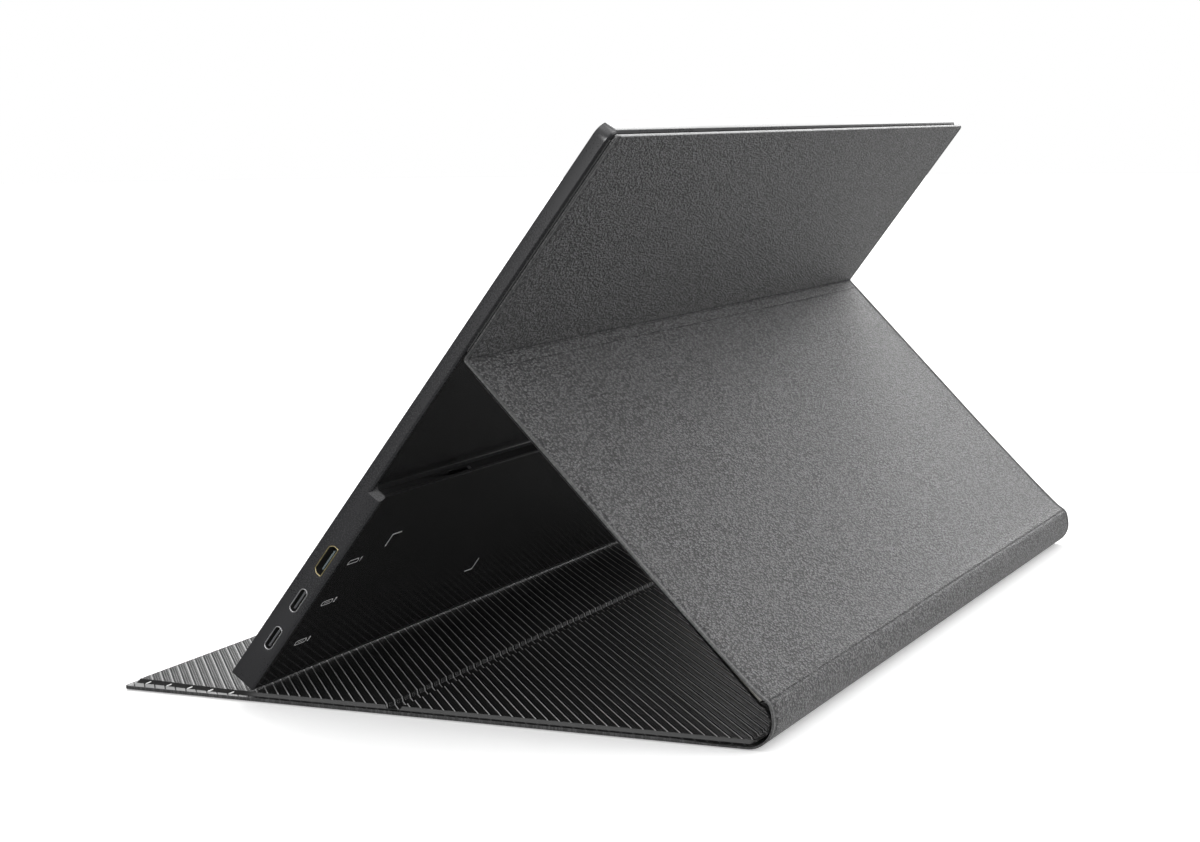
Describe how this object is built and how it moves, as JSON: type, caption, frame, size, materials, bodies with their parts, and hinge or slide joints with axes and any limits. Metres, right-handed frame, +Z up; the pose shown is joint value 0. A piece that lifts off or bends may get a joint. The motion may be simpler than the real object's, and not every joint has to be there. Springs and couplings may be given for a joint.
{
  "type": "portable monitor with cover",
  "caption": "Slim portable monitor leaning on its magnetic folding cover, which makes a tent stand with a rolled spine and a front flap.",
  "frame": {"origin": "middle of the footprint on the resting surface", "axes": "+X along the width towards the side wall with the sockets, -Y is the side that the screen faces, +Z up"},
  "size_m": [0.3596, 0.21, 0.1723],
  "materials": {
    "frame_metal": "fine satin dark grey coat",
    "cover_black": "semi-gloss black",
    "bezel_black": "matte black",
    "screen": "anti-glare screen, switched off",
    "optic_white": "white optical film",
    "light_guide": "clear acrylic",
    "tray_metal": "thin pressed sheet",
    "circuit": "green solder mask",
    "shield_metal": "tinned steel",
    "screw_steel": "plated steel",
    "socket_warm": "plated shell with a warm tint",
    "socket_silver": "bright plated shell",
    "tongue": "dark moulded insert",
    "jack": "black moulded",
    "lamp": "clear light pipe",
    "speaker": "black moulded",
    "ribbon": "polyimide film",
    "steel_plate": "plain steel",
    "button": "satin dark grey",
    "skin": "pebbled synthetic leather, dark grey",
    "board": "fibre board",
    "lining": "diagonally ribbed woven lining",
    "magnet": "nickel plated"
  },
  "bodies": {
    "base": {"base_skin": "skin", "base_board": "board", "base_lining": "lining"},
    "front_flap": {"flap_skin": "skin", "flap_board": "board", "flap_lining": "lining", "closing_magnets": "magnet"},
    "spine": {"spine_skin": "skin", "spine_lining": "lining"},
    "back_panel": {"back_skin": "skin", "back_board": "board", "back_lining": "lining"},
    "top_panel": {"top_skin": "skin", "top_board": "board", "top_lining": "lining", "top_magnets": "magnet"},
    "monitor": {"side_frame": "frame_metal", "rear_cover": "cover_black", "front_bezel": "bezel_black", "display_panel": "screen", "optical_sheets": "optic_white", "light_guide": "light_guide", "backlight_tray": "tray_metal", "led_strip": "optic_white", "control_board": "circuit", "board_shield": "shield_metal", "board_screws": "screw_steel", "video_socket": "socket_warm", "video_socket_tongue": "tongue", "upper_data_socket": "socket_silver", "lower_data_socket": "socket_silver", "data_socket_tongues": "tongue", "side_board": "circuit", "tact_switches": "jack", "audio_jack": "jack", "status_light": "lamp", "left_speaker": "speaker", "right_speaker": "speaker", "panel_ribbon": "ribbon", "link_ribbon": "ribbon", "holding_plates": "steel_plate"},
    "power_key": {"power_button": "button"},
    "menu_key": {"menu_rocker": "button"}
  },
  "joints": [
    {"name": "front_flap_fold", "type": "hinge", "parent": "base", "child": "front_flap", "pos_m": [0, -0.014, 0], "axis": [1, 0, 0], "range_deg": [0, 160]},
    {"name": "cover_opening", "type": "hinge", "parent": "base", "child": "spine", "pos_m": [0, 0.098, 0], "axis": [-1, 0, 0], "range_deg": [0, 130]},
    {"name": "stand_tilt", "type": "hinge", "parent": "spine", "child": "back_panel", "pos_m": [0, 0.10302, 0.01187], "axis": [-1, 0, 0], "range_deg": [-14, 15]},
    {"name": "upper_fold", "type": "hinge", "parent": "back_panel", "child": "top_panel", "pos_m": [0, 0.0125, 0.10518], "axis": [1, 0, 0], "range_deg": [-31, 33.5]},
    {"name": "monitor_pull_off", "type": "slide", "parent": "top_panel", "child": "monitor", "axis": [0, -0.8007, 0.599], "range_m": [0, 0.1]},
    {"name": "power_press", "type": "slide", "parent": "monitor", "child": "power_key", "axis": [1, 0, 0], "range_m": [0, 0.00035], "stiffness_N_per_m": 600, "springref_m": -0.001},
    {"name": "menu_rock", "type": "hinge", "parent": "monitor", "child": "menu_key", "pos_m": [-0.176, -0.04461, 0.03201], "axis": [0, -0.8007, 0.599], "range_deg": [-2.5, 2.5], "stiffness_Nm_per_rad": 0.05}
  ],
  "couplings": [
    {"joint": "upper_fold", "follows": "stand_tilt", "ratio": 2.2}
  ]
}
